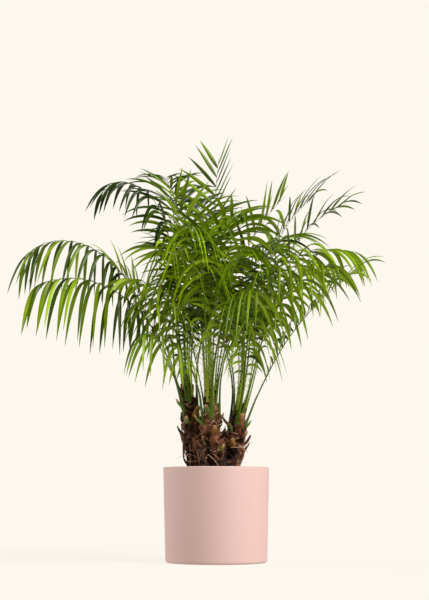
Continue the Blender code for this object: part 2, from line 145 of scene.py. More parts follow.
# How unevenly leaflets grow: angles in degrees, the turn in radians, and the rest as shares
LEAFLET_JITTER = 6.0
LEAFLET_TURN = 0.35
LEAFLET_WEIGHTS = (0.7, 1.3)
LEAFLET_SIZES = (0.92, 1.04)
LEAFLET_WIDTHS = (0.86, 1.06)
LEAFLET_STAGGER = 0.35
LAST_LEAFLET = 0.992
SPEAR_LEAFLETS = 12

# The greens of the leaflets, darkest first. A leaflet's tone is its place in this list
TONES = ("shade", "deep", "leaf", "light", "young")
LEAF_TONES = {"left": 2.3, "centre": 2.7, "right": 2.8}
FROND_TONE_RANGE, LEAFLET_TONE_SPREAD = 0.6, 0.75
# What a frond's length adds to its tone, as painted light and shade: the short fronds in the shaded heart of
# the crown are lightened, and the long outer fronds that the light falls on fully are darkened
LENGTH_PAINTED_LIGHT_AND_SHADE = ((0.0, 1.0), (0.40, 0.9), (0.60, 0.2), (0.72, -0.9), (0.82, -1.5), (1.0, -1.5))
# What a leaflet's height adds, as painted shade: the lowest are darkened as if in shade, and the highest are
# darkened against the full light that falls on them
HEIGHT_PAINTED_SHADE = ((0.0, -1.0), (0.60, -1.0), (0.80, 0.0), (0.98, 0.0), (1.12, -1.5), (2.0, -1.5))
# How dark and how light a leaf colour drifts over the plant, and how dark a leaflet starts at its rib, which
# is painted shade that deepens the crown and the fold near the ribs
LEAF_DRIFT = (0.72, 1.26)
LEAFLET_ROOT_PAINTED_SHADE = 0.45

# Lights, as (bearing, height, spread) in degrees, then the camera, the floor and the backdrop
KEY = (-37.0, 40.0, 38.0)
FILL = (172.0, 25.0, 60.0)
CAMERA_X, CAMERA_HEIGHT, CAMERA_TILT = -0.0049, 0.19, 98.5
FLOOR_SIZE, BACKDROP_RADIUS = 60.0, 50.0


class Stem(NamedTuple):
    """One stem: where its axis starts at the soil and ends, its radius above the flare, and how far
    its closed young leaf stands above its tip."""

    foot: tuple
    tip: tuple
    radius: float
    spear: float


class Frond(NamedTuple):
    """One frond: its bearing, its lean at the stem and at the tip, its length along the rib, and how
    late along it the bend comes."""

    bearing: float
    lean: float
    droop: float
    length: float
    bend: float


STEMS = {
    "left": Stem((-0.050, 0.018), (-0.088, 0.022, 0.512), 0.0275, 0.34),
    "centre": Stem((-0.008, -0.034), (-0.018, -0.040, 0.487), 0.0275, 0.38),
    "right": Stem((0.036, 0.014), (0.072, 0.016, 0.452), 0.0270, 0.34),
}

# Oldest and lowest first, because each is seated a little higher than the one before
FRONDS = {
    "left": (
        Frond(195, 9, 121, 0.66, 1.55), Frond(105, 15, 95, 0.68, 1.6), Frond(40, 11, 80, 0.66, 2.2),
        Frond(255, 3, 125, 0.62, 2.4), Frond(245, 5, 110, 0.40, 2.0), Frond(180, 10, 52, 0.47, 1.4),
        Frond(310, 8, 60, 0.57, 2.4), Frond(170, 20, 150, 0.80, 2.9), Frond(70, 6, 65, 0.66, 2.2),
        Frond(105, 4, 75, 0.81, 3.0), Frond(15, 3, 55, 0.54, 2.4), Frond(150, 1, 148, 0.81, 4.2),
    ),
    "centre": (
        Frond(220, 12, 120, 0.38, 1.7), Frond(350, 7, 80, 0.59, 1.8), Frond(100, 13, 90, 0.72, 1.7),
        Frond(290, 12, 115, 0.50, 1.8), Frond(325, 10, 100, 0.55, 1.9), Frond(185, 8, 85, 0.46, 2.2),
        Frond(40, 10, 75, 0.66, 2.0), Frond(265, 4, 125, 0.66, 2.5), Frond(90, 8, 60, 0.74, 2.2),
        Frond(300, 4, 90, 0.60, 2.6), Frond(225, 2, 42, 0.60, 2.4), Frond(120, 3, 60, 0.72, 3.0),
        Frond(0, 6, 46, 0.63, 1.8), Frond(50, 1, 12, 0.71, 3.0),
    ),
    "right": (
        Frond(0, 14, 56, 0.57, 1.0), Frond(150, 7, 55, 0.60, 1.6), Frond(280, 10, 120, 0.45, 1.8),
        Frond(85, 12, 95, 0.68, 1.8), Frond(325, 9, 95, 0.58, 2.0), Frond(210, 9, 75, 0.58, 2.0),
        Frond(10, 7, 108, 0.68, 2.6), Frond(20, 3, 55, 0.72, 2.6), Frond(40, 12, 85, 0.62, 2.0),
        Frond(275, 4, 125, 0.62, 2.5), Frond(355, 6, 70, 0.71, 2.3), Frond(175, 3, 65, 0.60, 2.2),
        Frond(70, 6, 60, 0.60, 1.8),
    ),
}


def between(stops, at):
    """The value at a share of the way along, from a few (share, value) stops."""
    for (low, first), (high, last) in zip(stops, stops[1:]):
        if at <= high:
            return first + (last - first) * (at - low) / (high - low)
    return stops[-1][1]


def blend(ends, share):
    return ends[0] + (ends[1] - ends[0]) * share


def smooth_step(value):
    share = min(1.0, max(0.0, value))
    return share * share * (3.0 - 2.0 * share)


def heading(bearing):
    """Level unit vector at a bearing."""
    return Vector((math.cos(math.radians(bearing)), math.sin(math.radians(bearing)), 0.0))


def full_turn(count):
    """Evenly spaced angles of a full turn, in radians."""
    return [2.0 * math.pi * i / count for i in range(count)]


def stem_axis(stem, rise):
    """Point on the stem's axis at a share of the way from the soil to its tip."""
    foot, tip = Vector((*stem.foot, STEM_FOOT)), Vector(stem.tip)
    return foot + (tip - foot) * rise


def stem_radius(stem, rise):
    return stem.radius * between(STEM_GIRTHS, rise)


def stem_growth(stem):
    """Unit vector along the stem."""
    return (stem_axis(stem, 1.0) - stem_axis(stem, 0.0)).normalized()


def surface_spot(stem, bearing, rise, out=0.0):
    return stem_axis(stem, rise) + heading(bearing) * (stem_radius(stem, rise) + out)


def seat_bearing(fronds, order):
    """Where a frond sits round its stem. The seats are evenly spaced, in the order of the fronds'
    bearings, and turned together to lie as near those bearings as they can."""
    turned_order = sorted(range(len(fronds)), key=lambda i: fronds[i].bearing)
    step = 360.0 / len(fronds)
    lead = sum(fronds[i].bearing - step * rank for rank, i in enumerate(turned_order)) / len(fronds)
    return lead + step * turned_order.index(order)


class Rib:
    """A frond's rib: its line in space, and its own directions at any share of its length."""

    STEPS = 48

    def __init__(self, stem_name, order):
        self.stem_name = stem_name
        self.stem = stem = STEMS[stem_name]
        fronds = FRONDS[stem_name]
        self.frond = frond = fronds[order]
        self.youth = order / (len(fronds) - 1)
        self.old = self.youth < OLD_UNTIL
        self.limp = min(1.0, frond.droop / FULLY_LIMP) ** LIMP_POWER
        self.growth = stem_growth(stem)
        self.sway = SWAY * math.sin(2.4 * order + 1.0)
        self.rise = blend(SEAT_RISES, self.youth)
        self.seat = seat_bearing(fronds, order)
        turn = abs(math.sin(math.radians(self.seat - frond.bearing)))
        offset = stem_radius(stem, self.rise) + SEAT_GAP + turn * SEAT_TURN
        self.points = [stem_axis(stem, self.rise) + heading(self.seat) * offset]
        for i in range(self.STEPS):
            tangent, _, _ = self.directions((i + 0.5) / self.STEPS)
            self.points.append(self.points[-1] + tangent * frond.length / self.STEPS)

    def directions(self, share):
        """Along the rib, to its left, and out of its upper face. The lean is taken from the stem's own
        direction at the seat, and from upright further out."""
        lean = math.radians(blend((self.frond.lean, self.frond.droop), share**self.frond.bend))
        outwards = heading(self.frond.bearing + self.sway * share)
        upright = self.growth.lerp(UP, smooth_step(share / UPRIGHT_BY)).normalized()
        along = (outwards * math.sin(lean) + upright * math.cos(lean)).normalized()
        left = (upright * math.sin(lean) - outwards * math.cos(lean)).cross(along).normalized()
        return along, left, along.cross(left)

    def at(self, share):
        place = min(max(share, 0.0) * self.STEPS, self.STEPS - 1e-6)
        i = int(place)
        return self.points[i].lerp(self.points[i + 1], place - i)


# The ribs of all fronds, by the name of the solid that each one's frond replaces
RIBS = {f"frond_{name}_{i + 1:02d}": Rib(name, i) for name in FRONDS for i in range(len(FRONDS[name]))}


def linear(red, green, blue):
    """A colour given as 0 to 255 of a screen, as the linear numbers that a material takes."""
    return tuple(((c / 255.0 + 0.055) / 1.055) ** 2.4 if c > 10 else c / 3294.6 for c in (red, green, blue))


class Value:
    """A node's output that takes part in arithmetic. Each operation adds its Math node."""

    def __init__(self, nodes, socket):
        self.nodes = nodes
        self.socket = socket

    def __add__(self, other):
        return self.nodes.math("ADD", self, other)

    def __mul__(self, other):
        return self.nodes.math("MULTIPLY", self, other)

    __radd__ = __add__
    __rmul__ = __mul__


class Nodes:
    """Adds nodes to a tree, with their settings first and then the values or links of their sockets."""

    def __init__(self, tree):
        self.tree = tree

    def add(self, kind, settings=None, inputs=None, output=0):
        node = self.tree.nodes.new(kind)
        for name, setting in (settings or {}).items():
            if name == "stops":
                self.set_ramp(node.color_ramp, setting)
            else:
                setattr(node, name, setting)
        for name, value in (inputs or {}).items():
            self.feed(node.inputs[name], value)
        return Value(self, node.outputs[output])

    def feed(self, socket, value):
        if isinstance(value, Value):
            self.tree.links.new(value.socket, socket)
        elif socket.type == "RGBA":
            socket.default_value = (*value, 1.0)
        else:
            socket.default_value = value

    def set_ramp(self, ramp, stops):
        while len(ramp.elements) < len(stops):
            ramp.elements.new(0.5)
        for element, (place, colour) in zip(ramp.elements, stops):
            element.position = place
            element.color = (*((colour,) * 3 if isinstance(colour, float) else colour), 1.0)

    def math(self, operation, first, second):
        return self.add("ShaderNodeMath", {"operation": operation}, {0: first, 1: second})


class Finish(Nodes):
    """A material, whose patterns lie in the object's own coordinates."""

    def __init__(self, name, roughness=0.5):
        self.material = bpy.data.materials.new(name)
        self.material.use_nodes = True
        super().__init__(self.material.node_tree)
        self.shader = self.tree.nodes["Principled BSDF"]
        self.place = self.add("ShaderNodeTexCoord", output="Object")
        self.give("Roughness", roughness)

    def give(self, socket, value):
        self.feed(self.shader.inputs[socket], value)
        return self

    def noise(self, scale, upwards=1.0, detail=3.0, roughness=0.55):
        """Clouds from 0 to 1. scale is spots a metre, and upwards how many times that many there are
        up the piece."""
        spread = self.add("ShaderNodeMapping", inputs={"Vector": self.place, "Scale": (1.0, 1.0, upwards)})
        return self.add(
            "ShaderNodeTexNoise",
            inputs={"Vector": spread, "Scale": scale, "Detail": detail, "Roughness": roughness},
        )

    def ramp(self, value, *stops):
        return self.add("ShaderNodeValToRGB", {"stops": stops}, {"Fac": value})

    def mix(self, factor, first, second):
        return self.add("ShaderNodeMix", {"data_type": "RGBA"}, {0: factor, 6: first, 7: second}, output=2)

    def drift(self, factor, colour, low, high):
        """The colour, from darker to lighter as the factor goes from 0 to 1."""
        return self.mix(factor, shade(colour, low), shade(colour, high))

    def bump(self, height, distance, strength=1.0):
        relief = {"Height": height, "Distance": distance, "Strength": strength}
        return self.give("Normal", self.add("ShaderNodeBump", inputs=relief))


def shade(colour, amount):
    return tuple(min(1.0, c * amount) for c in colour)


def leaf_finish(name, colour, roughness, foot=None):
    """A leaf colour with a little drift over the plant, and another at its foot if one is given. On the
    young stalks that foot is their own yellow-green, and on the leaflets it is a darker foot, painted shade
    near the rib. The attribute along runs from 0 at the foot to 1 at the tip."""
    leaf = Finish(name)
    spots = leaf.noise(14.0)
    body = leaf.drift(spots, colour, *LEAF_DRIFT)
    # The foot colour is the young stalks' own yellow-green, and on the leaflets it is painted shade near the
    # rib
    if foot is not None:
        along = leaf.add("ShaderNodeAttribute", {"attribute_name": "along"}, output="Fac")
        start = leaf.drift(spots, foot, *LEAF_DRIFT)
        body = leaf.mix(leaf.ramp(along, (0.0, 0.0), (0.5, 1.0)), start, body)
    leaf.give("Base Color", body)
    leaf.give("Roughness", leaf.noise(60.0) * 0.16 + (roughness - 0.08))
    return leaf.give("Specular IOR Level", 0.15).material


def bark_finish(name, dark, light, pale):
    """Old leaf bases and their matted fibre: upright streaks from near black to reddish brown. The near
    black lies in the low grooves of the bump, as painted shade over the dark brown fibre.
    """
    bark = Finish(name)
    streaks = bark.noise(34.0, 0.28, 8.0, 0.68)
    # The darkest stop falls where the bump is lowest: painted shade in the grooves
    body = bark.ramp(streaks, (0.36, shade(dark, 0.35)), (0.47, dark), (0.56, light), (0.68, pale))
    threads = bark.noise(260.0, 0.16, 2.0)
    bark.give("Base Color", bark.mix(threads * 0.55, body, shade(dark, 0.45)))
    bark.give("Roughness", streaks * 0.2 + 0.72)
    bark.bump(streaks + threads * 0.5, 0.004, 0.9)
    return bark.give("Specular IOR Level", 0.08).material


def earth_finish(name, dark, light):
    earth = Finish(name)
    clods = earth.noise(90.0, detail=9.0, roughness=0.7)
    earth.give("Base Color", earth.ramp(clods, (0.35, dark), (0.55, light), (0.75, shade(light, 1.7))))
    earth.give("Roughness", clods * 0.15 + 0.82)
    return earth.bump(clods, 0.004).material


def strand_finish(name, colour, spread=0.35, roughness=0.75):
    """Straw, fibre, root or thorn: one colour with darker and lighter stretches."""
    strand = Finish(name)
    patches = strand.noise(48.0, detail=5.0)
    strand.give("Base Color", strand.drift(patches, colour, 1.0 - spread, 1.0 + spread))
    strand.give("Roughness", patches * 0.2 + (roughness - 0.1))
    return strand.bump(strand.noise(320.0, 0.3), 0.0006, 0.6).material


def pot_finish(name, colour):
    """Matte ceramic: a fine dry grain and very faint upright clouding."""
    clay = Finish(name)
    clouds = clay.noise(7.0, 0.35, 4.0)
    grain = clay.noise(900.0, detail=2.0)
    tint = clay.drift(clouds, colour, 0.965, 1.035)
    clay.give("Base Color", clay.mix(grain * 0.12, tint, shade(colour, 0.86)))
    clay.give("Roughness", grain * 0.10 + 0.56)
    return clay.bump(grain + clouds * 0.6, 0.00012, 0.7).material


class Grower(Nodes):
    """A Geometry Nodes tree that makes a mesh of another, with named inputs as (name, kind, default)."""

    def __init__(self, name, source, *inputs):
        super().__init__(bpy.data.node_groups.new(name, "GeometryNodeTree"))
        for label, kind, default in ((source, "Geometry", None), *inputs, ("Finish", "Material", None)):
            socket = self.tree.interface.new_socket(label, in_out="INPUT", socket_type="NodeSocket" + kind)
            if default is not None:
                socket.default_value = default
        self.tree.interface.new_socket("Made", in_out="OUTPUT", socket_type="NodeSocketGeometry")
        self.group = self.tree.nodes.new("NodeGroupInput")

    def given(self, label):
        return Value(self, self.group.outputs[label])

    def close(self, shape):
        """Ends the tree in one plain mesh of one finish."""
        whole = self.add("GeometryNodeRealizeInstances", inputs={"Geometry": shape})
        finish = {"Geometry": whole, "Material": self.given("Finish")}
        dressed = self.add("GeometryNodeSetMaterial", inputs=finish)
        out = self.tree.nodes.new("NodeGroupOutput")
        self.tree.links.new(dressed.socket, out.inputs["Made"])
        return self.tree


class Sweep(Grower):
    """Sweeps a section along guide lines. Each guide point holds a half width, and the direction that
    the upper face looks in."""

    def __init__(self, name, *inputs):
        super().__init__(name, "Guides", *inputs)

    def attribute(self, name, kind):
        return self.add("GeometryNodeInputNamedAttribute", {"data_type": kind}, {"Name": name})

    def close(self, shape):
        lines = self.add("GeometryNodeMeshToCurve", inputs={"Mesh": self.given("Guides")})
        facing = {"Curve": lines, "Normal": self.attribute("facing", "FLOAT_VECTOR")}
        lines = self.add("GeometryNodeSetCurveNormal", {"mode": "FREE"}, facing)
        section = {"Profile Curve": shape, "Scale": self.attribute("half_width", "FLOAT"), "Fill Caps": True}
        return super().close(self.add("GeometryNodeCurveToMesh", inputs={"Curve": lines, **section}))


def blade_tree():
    """Sweeps a leaflet: a thin section folded up along its middle, which comes to an edge at each side."""
    sweep = Sweep("palm leaflet blade", ("Fold", "Float", 0.34), ("Thickness", "Float", 0.16))
    fold, half = sweep.given("Fold"), sweep.given("Thickness") * 0.5
    corners = ((fold, 1.0), (half, 0.0), (fold, -1.0), (half * -1.0, 0.0))
    points = {
        f"Point {i + 1}": sweep.add("ShaderNodeCombineXYZ", inputs={"X": height, "Y": across})
        for i, (height, across) in enumerate(corners)
    }
    return sweep.close(sweep.add("GeometryNodeCurvePrimitiveQuadrilateral", {"mode": "POINTS"}, points))


def strand_tree():
    """Sweeps a stalk, root or fibre: an oval section, Depth times as deep as it is wide."""
    sweep = Sweep("palm strand", ("Sides", "Int", 8), ("Depth", "Float", 1.0))
    circle = {"Resolution": sweep.given("Sides"), "Radius": 1.0}
    ring = sweep.add("GeometryNodeCurvePrimitiveCircle", inputs=circle)
    flat = sweep.add("ShaderNodeCombineXYZ", inputs={"X": sweep.given("Depth"), "Y": 1.0, "Z": 1.0})
    return sweep.close(sweep.add("GeometryNodeTransform", inputs={"Geometry": ring, "Scale": flat}))


def chip_tree():
    """Scatters flat bark chips over a surface, each turned and sized at random from a fixed seed."""
    tree = Grower(
        "palm bark chips", "Surface",
        ("Chips a square metre", "Float", 5200.0), ("Chip size", "Float", 0.011), ("Seed", "Int", SEED),
    )
    seed = tree.given("Seed")

    def random_vector(low, high):
        ends = {0: low, 1: high, "Seed": seed}
        return tree.add("FunctionNodeRandomValue", {"data_type": "FLOAT_VECTOR"}, ends)

    spread = {"Mesh": tree.given("Surface"), "Density": tree.given("Chips a square metre"), "Seed": seed}
    points = tree.add("GeometryNodeDistributePointsOnFaces", inputs=spread)
    chip = tree.add("GeometryNodeMeshCube", inputs={"Size": (1.0, 0.62, 0.20)})
    turn = random_vector((-0.55, -0.55, 0.0), (0.55, 0.55, 6.28))
    turn = tree.add("FunctionNodeEulerToRotation", inputs={"Euler": turn})
    sizes = {0: random_vector((0.35, 0.35, 0.5), (1.5, 1.3, 1.6)), "Scale": tree.given("Chip size")}
    size = tree.add("ShaderNodeVectorMath", {"operation": "SCALE"}, sizes)
    placed = {"Points": points, "Instance": chip, "Rotation": turn, "Scale": size}
    return tree.close(tree.add("GeometryNodeInstanceOnPoints", inputs=placed))


def tree_named(name, make):
    return bpy.data.node_groups.get(name) or make()


def socket_of(tree, name):
    """The identifier of a tree's input, by the name that the user sees."""
    for item in tree.interface.items_tree:
        if item.item_type == "SOCKET" and item.in_out == "INPUT" and item.name == name:
            return item.identifier
    raise KeyError(name)


def face_outwards(mesh):
    """Turns the faces round if the closed shapes of this mesh are inside out."""
    mesh.calc_loop_triangles()
    points = np.empty(len(mesh.vertices) * 3, np.float32)
    mesh.vertices.foreach_get("co", points)
    faces = np.empty(len(mesh.loop_triangles) * 3, np.int32)
    mesh.loop_triangles.foreach_get("vertices", faces)
    corners = points.reshape(-1, 3).astype(np.float64)[faces.reshape(-1, 3)]
    if np.einsum("ij,ij->i", corners[:, 0], np.cross(corners[:, 1], corners[:, 2])).sum() < 0:
        mesh.flip_normals()


def add_piece(name, mesh, replaced=(), crease=40):
    """Puts a finished mesh in the scene as a piece of the plant or its pot."""
    for attribute in list(mesh.attributes):
        if attribute.name in ("facing", "half_width"):
            mesh.attributes.remove(attribute)
    face_outwards(mesh)
    mesh.shade_smooth()
    mesh.set_sharp_from_angle(angle=math.radians(crease))
    mesh.name = name
    piece = bpy.data.objects.new(name, mesh)
    bpy.context.scene.collection.objects.link(piece)
    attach(piece, "root")
    if replaced:
        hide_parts(*replaced)


def mesh_from(name, points, faces, finish=None):
    mesh = bpy.data.meshes.new(name)
    mesh.from_pydata([tuple(p) for p in points], [], faces)
    mesh.validate()
    if finish is not None:
        mesh.materials.append(finish)
    return mesh


def add_solid(name, shape, finish, replaced=(), crease=40):
    """Adds a piece from the points and faces of its shape."""
    add_piece(name, mesh_from(name, *shape, finish), replaced, crease)


def grown(mesh, tree, inputs):
    """The plain mesh that a Geometry Nodes tree makes of a mesh."""
    holder = bpy.data.objects.new(mesh.name, mesh)
    bpy.context.scene.collection.objects.link(holder)
    modifier = holder.modifiers.new("grow", "NODES")
    modifier.node_group = tree
    for label, value in inputs.items():
        modifier[socket_of(tree, label)] = value
    graph = bpy.context.evaluated_depsgraph_get()
    made = bpy.data.meshes.new_from_object(holder.evaluated_get(graph))
    bpy.data.objects.remove(holder, do_unlink=True)
    return made


class Guides:
    """Open lines for a sweep, as one mesh of edges. The attribute along runs from 0 to 1 on each."""

    def __init__(self):
        self.points, self.edges, self.half_widths, self.facings, self.shares = [], [], [], [], []

    def add(self, points, half_widths, facings):
        first, last = len(self.points), len(points) - 1
        self.points += points
        self.half_widths += half_widths
        self.facings += facings
        self.shares += [i / last for i in range(last + 1)]
        self.edges += [(first + i, first + i + 1) for i in range(last)]

    def sweep(self, name, tree, inputs, slot, replaced=(), crease=40):
        """Sweeps the lines into a piece, and does nothing where there are none."""
        if not self.points:
            return
        mesh = bpy.data.meshes.new(name)
        mesh.from_pydata([tuple(p) for p in self.points], self.edges, [])
        for label, values in (("half_width", self.half_widths), ("along", self.shares)):
            mesh.attributes.new(label, "FLOAT", "POINT").data.foreach_set("value", values)
        facing = mesh.attributes.new("facing", "FLOAT_VECTOR", "POINT")
        facing.data.foreach_set("vector", [c for f in self.facings for c in f])
        add_piece(name, grown(mesh, tree, inputs), replaced, crease)


def bands(rings, sides):
    """Faces between rings of equal size, whose points follow one another."""
    faces = []
    for low in range(0, (rings - 1) * sides, sides):
        for i in range(sides):
            after = (i + 1) % sides
            faces.append((low + i, low + after, low + sides + after, low + sides + i))
    return faces


def closed(rings, poles=None):
    """Points and faces of a shape through rings of equal size, with a pole at each end."""
    sides = len(rings[0])
    points = [p for ring in rings for p in ring]
    last = len(points) - sides
    points += poles or [sum(ring, Vector()) / sides for ring in (rings[0], rings[-1])]
    faces = bands(len(rings), sides)
    for i in range(sides):
        after = (i + 1) % sides
        faces += [(after, i, last + sides), (last + i, last + after, last + sides + 1)]
    return points, faces


def joined(shapes):
    """Points and faces of many shapes, as one shape."""
    points, faces = [], []
    for more_points, more_faces in shapes:
        faces += [tuple(n + len(points) for n in face) for face in more_faces]
        points += more_points
    return points, faces


def turned(profile, sides):
    """A closed solid of revolution from a profile that runs from the axis, outwards and up, and back."""
    rings = [[(r * math.cos(a), r * math.sin(a), z) for a in full_turn(sides)] for r, z in profile]
    return closed(rings, [(0.0, 0.0, profile[0][1]), (0.0, 0.0, profile[-1][1])])


def arc(centre, radius, start, end, steps):
    """Points of an arc in the profile plane, as (radius, height) pairs, angles in degrees."""
    points = []
    for i in range(steps + 1):
        angle = math.radians(blend((start, end), i / steps))
        points.append((centre[0] + radius * math.cos(angle), centre[1] + radius * math.sin(angle)))
    return points


def colour_property(name, description, *screen_colour):
    return bpy.props.FloatVectorProperty(
        name=name, description=description, default=linear(*screen_colour),
        subtype="COLOR", size=3, min=0.0, max=1.0,
    )


def length_property(name, description, default):
    return bpy.props.FloatProperty(
        name=name, description=description, default=default, min=0.0, unit="LENGTH", precision=4
    )


def count_property(name, description, default, least=0):
    return bpy.props.IntProperty(name=name, description=description, default=default, min=least, max=600)


def share_property(name, description, default):
    return bpy.props.FloatProperty(
        name=name, description=description, default=default, min=0.0, max=1.0, subtype="FACTOR"
    )


def strength_property(name, description, default):
    return bpy.props.FloatProperty(name=name, description=description, default=default, min=0.0)


class PotSettings(bpy.types.PropertyGroup):
    top_radius: length_property("Top radius", "Outer radius at the rim", POT_HIGH.x)
    foot_radius: length_property("Foot radius", "Outer radius at the foot", 0.1455)
    height: length_property("Height", "Height of the pot", POT_HIGH.z)
    wall: length_property("Wall", "Thickness of the wall", 0.0095)
    floor: length_property("Floor", "Thickness of the floor", 0.013)
    foot_round: length_property("Foot rounding", "Radius of the rounded foot", 0.008)
    foot_edge: length_property("Foot edge", "How far in from the foot's radius the flat base ends", 0.022)
    lip_round: length_property("Lip rounding", "Radius of each edge of the rim", 0.0035)
    colour: colour_property("Pot colour", "Colour of the ceramic", 190, 158, 150)
    soil_dark: colour_property("Soil shade", "Darkest colour of the soil", 22, 15, 10)
    soil_light: colour_property("Soil", "Main colour of the soil", 74, 52, 38)
    chip: colour_property("Bark chips", "Colour of the chips on the soil", 112, 78, 54)


class TrunkSettings(bpy.types.PropertyGroup):
    bases: count_property("Leaf bases", "Old leaf bases wound round each stem", 22, least=3)
    relief: length_property("Relief", "How far the lip of a leaf base stands out", 0.0066)
    boots: count_property("Dead bases", "Dead leaf bases that stand out of each stem", 30)
    hairs: count_property("Fibres", "Loose fibres on each stem", 260)
    roots: count_property("Roots", "Roots that run down over the clump", 70)
    dark: colour_property("Bark shade", "Darkest colour of the stems", 44, 25, 15)
    red: colour_property("Bark", "Main colour of the stems", 128, 78, 54)
    pale: colour_property("Bark edges", "Palest colour of the stems", 176, 134, 94)
    green: colour_property("Green stubs", "Colour of the fresh cut stalks", 84, 100, 16)
    brown: colour_property("Brown stubs", "Colour of the old cut stalks", 96, 68, 46)
    orange: colour_property("Orange stubs", "Colour of the drying cut stalks", 132, 92, 26)
    cut: colour_property("Cut faces", "Colour where old stalks were cut", 170, 128, 84)
    straw: colour_property("Straw", "Colour of the loose dry straws", 200, 164, 130)


class FrondSettings(bpy.types.PropertyGroup):
    spacing: length_property("Leaflet spacing", "Distance between leaflets along the rib", 0.0290)
    width: length_property("Leaflet width", "Width of a leaflet at its widest", 0.0120)
    fold: share_property("Fold", "How far the leaflet's sides rise, against its half width", 0.28)
    brown_tips: share_property("Brown tips", "Share of the leaflets whose tip is dry", 0.22)
    shade: colour_property("Shaded green", "Darkest leaf colour", 36, 54, 1)
    deep: colour_property("Deep green", "Colour of the old leaflets", 61, 83, 1)
    leaf: colour_property("Leaf green", "Main leaf colour", 99, 124, 3)
    light: colour_property("Light green", "Colour of the younger leaflets", 122, 150, 9)
    young: colour_property("Young green", "Lightest leaf colour", 146, 172, 32)
    stalk: colour_property("Stalk", "Colour of the old stalks", 66, 88, 8)
    young_stalk: colour_property("Young stalk", "Colour of the young stalks at their foot", 156, 168, 34)
    young_rib: colour_property("Young rib", "Colour of the young stalks further up", 88, 114, 12)
    tip: colour_property("Dry tips", "Colour of the dry tips", 150, 104, 48)
    thorn: colour_property("Thorns", "Colour of the thorns on the stalks", 176, 190, 120)


class StageSettings(bpy.types.PropertyGroup):
    backdrop: colour_property("Backdrop", "Colour of the floor and of what lies behind", 253, 248, 238)
    ambient: strength_property("Ambient", "Strength of the light from all round", 0.10)
    key: strength_property("Key light", "Strength of the soft light from the right", 5.1)
    fill: strength_property("Fill light", "Strength of the soft light from the left", 2.5)
    shadow: share_property("Shadow", "How much of a shadow the floor takes", 0.06)
    lens: bpy.props.FloatProperty(
        name="Focal length", description="Focal length of the camera, in millimetres", default=78.4,
        min=1.0, unit="CAMERA",
    )
    distance: length_property("Camera distance", "How far in front of the pot the camera stands", 3.8)


class PALM_OT_pot(bpy.types.Operator):
    """Turn the pot, with a rounded foot and rim"""

    bl_idname = "palm.pot"
    bl_label = "Pot"

    def execute(self, context):
        pot = context.scene.palm_pot
        foot = arc((pot.foot_radius - pot.foot_round, pot.foot_round), pot.foot_round, -90, 0, 8)
        lip = pot.height - pot.lip_round
        outer = arc((pot.top_radius - pot.lip_round, lip), pot.lip_round, 0, 90, 7)
        inner = arc((pot.top_radius - pot.wall + pot.lip_round, lip), pot.lip_round, 90, 180, 7)
        taper = (pot.top_radius - pot.foot_radius) / pot.height
        well = [(pot.foot_radius - pot.wall + taper * pot.floor, pot.floor)]
        base = [(pot.foot_radius - pot.foot_edge, 0.0)]
        shape = turned(base + foot + outer + inner + well, 144)
        add_solid("pot_shell", shape, pot_finish("pot_ceramic", pot.colour), ["pot"], crease=50)
        return {"FINISHED"}


class PALM_OT_soil(bpy.types.Operator):
    """Fill the pot with lumpy soil, and scatter bark chips over it"""

    bl_idname = "palm.soil"
    bl_label = "Soil"

    def execute(self, context):
        pot = context.scene.palm_pot
        sides = SOIL_SIDES
        points = []
        for ring in range(SOIL_RINGS):
            out = (SOIL_HIGH.x - 0.0004) * (ring + 1) / SOIL_RINGS
            for angle in full_turn(sides):
                x, y = out * math.cos(angle), out * math.sin(angle)
                lump = noise.fractal(Vector((x, y, 0.0)) * 34.0, 0.8, 2.1, 4) * SOIL_LUMPS
                heap = SOIL_HEAP * math.exp(-((x + 0.007) ** 2 + y * y) / SOIL_HEAP_SPREAD)
                points.append((x, y, SOIL_HIGH.z - 0.002 + lump + heap))
        rim, middle, floor = len(points) - sides, len(points), SOIL_HIGH.z - SOIL_DEPTH
        points.append((0.0, 0.0, SOIL_HIGH.z + 0.003))
        faces = [(a, d, c, b) for a, b, c, d in bands(SOIL_RINGS, sides)]
        faces += [(i, (i + 1) % sides, middle) for i in range(sides)]
        top = mesh_from("soil_top", points, faces)
        points += [(x, y, floor) for x, y, _ in points[rim:middle]] + [(0.0, 0.0, floor)]
        for i in range(sides):
            after, low = (i + 1) % sides, middle + 1
            faces.append((rim + i, low + i, low + after, rim + after))
            faces.append((low + after, low + i, low + sides))
        earth = earth_finish("potting_soil", pot.soil_dark, pot.soil_light)
        add_solid("soil_surface", (points, faces), earth, ["soil"], crease=180)
        bark = strand_finish("bark_chip", pot.chip, 0.55, 0.85)
        chips = grown(top, tree_named("palm bark chips", chip_tree), {"Finish": bark})
        add_piece("soil_chips", chips, crease=20)
        return {"FINISHED"}


def base_relief(stem_order, angles, rises, bases):
    """How far the overlapping leaf bases stand out over a grid of rises and angles, from 0 to 1."""
    lift = np.zeros((len(rises), len(angles)))
    for i in range(bases):
        lip = blend((0.05, 0.985), i / (bases - 1))
        tall = blend((0.17, 0.11), lip)
        middle = math.radians(40.0 * stem_order + GOLDEN_ANGLE * i + 15.0)
        up = (rises[:, None] - (lip - tall)) / tall
        side = (angles[None, :] - middle + math.pi) % (2.0 * math.pi) - math.pi
        body = 1.0 - (side / BASE_HALF_ANGLE) ** 2
        edge = 1.0 - 0.5 * np.clip(np.abs(side) / BASE_HALF_ANGLE, 0, 1) ** 2
        shape = np.where((up >= 0) & (up <= edge), np.clip(up, 0, 1) ** 0.8, 0.0) * np.clip(body, 0, 1)
        lift = np.maximum(lift, shape)
    return lift


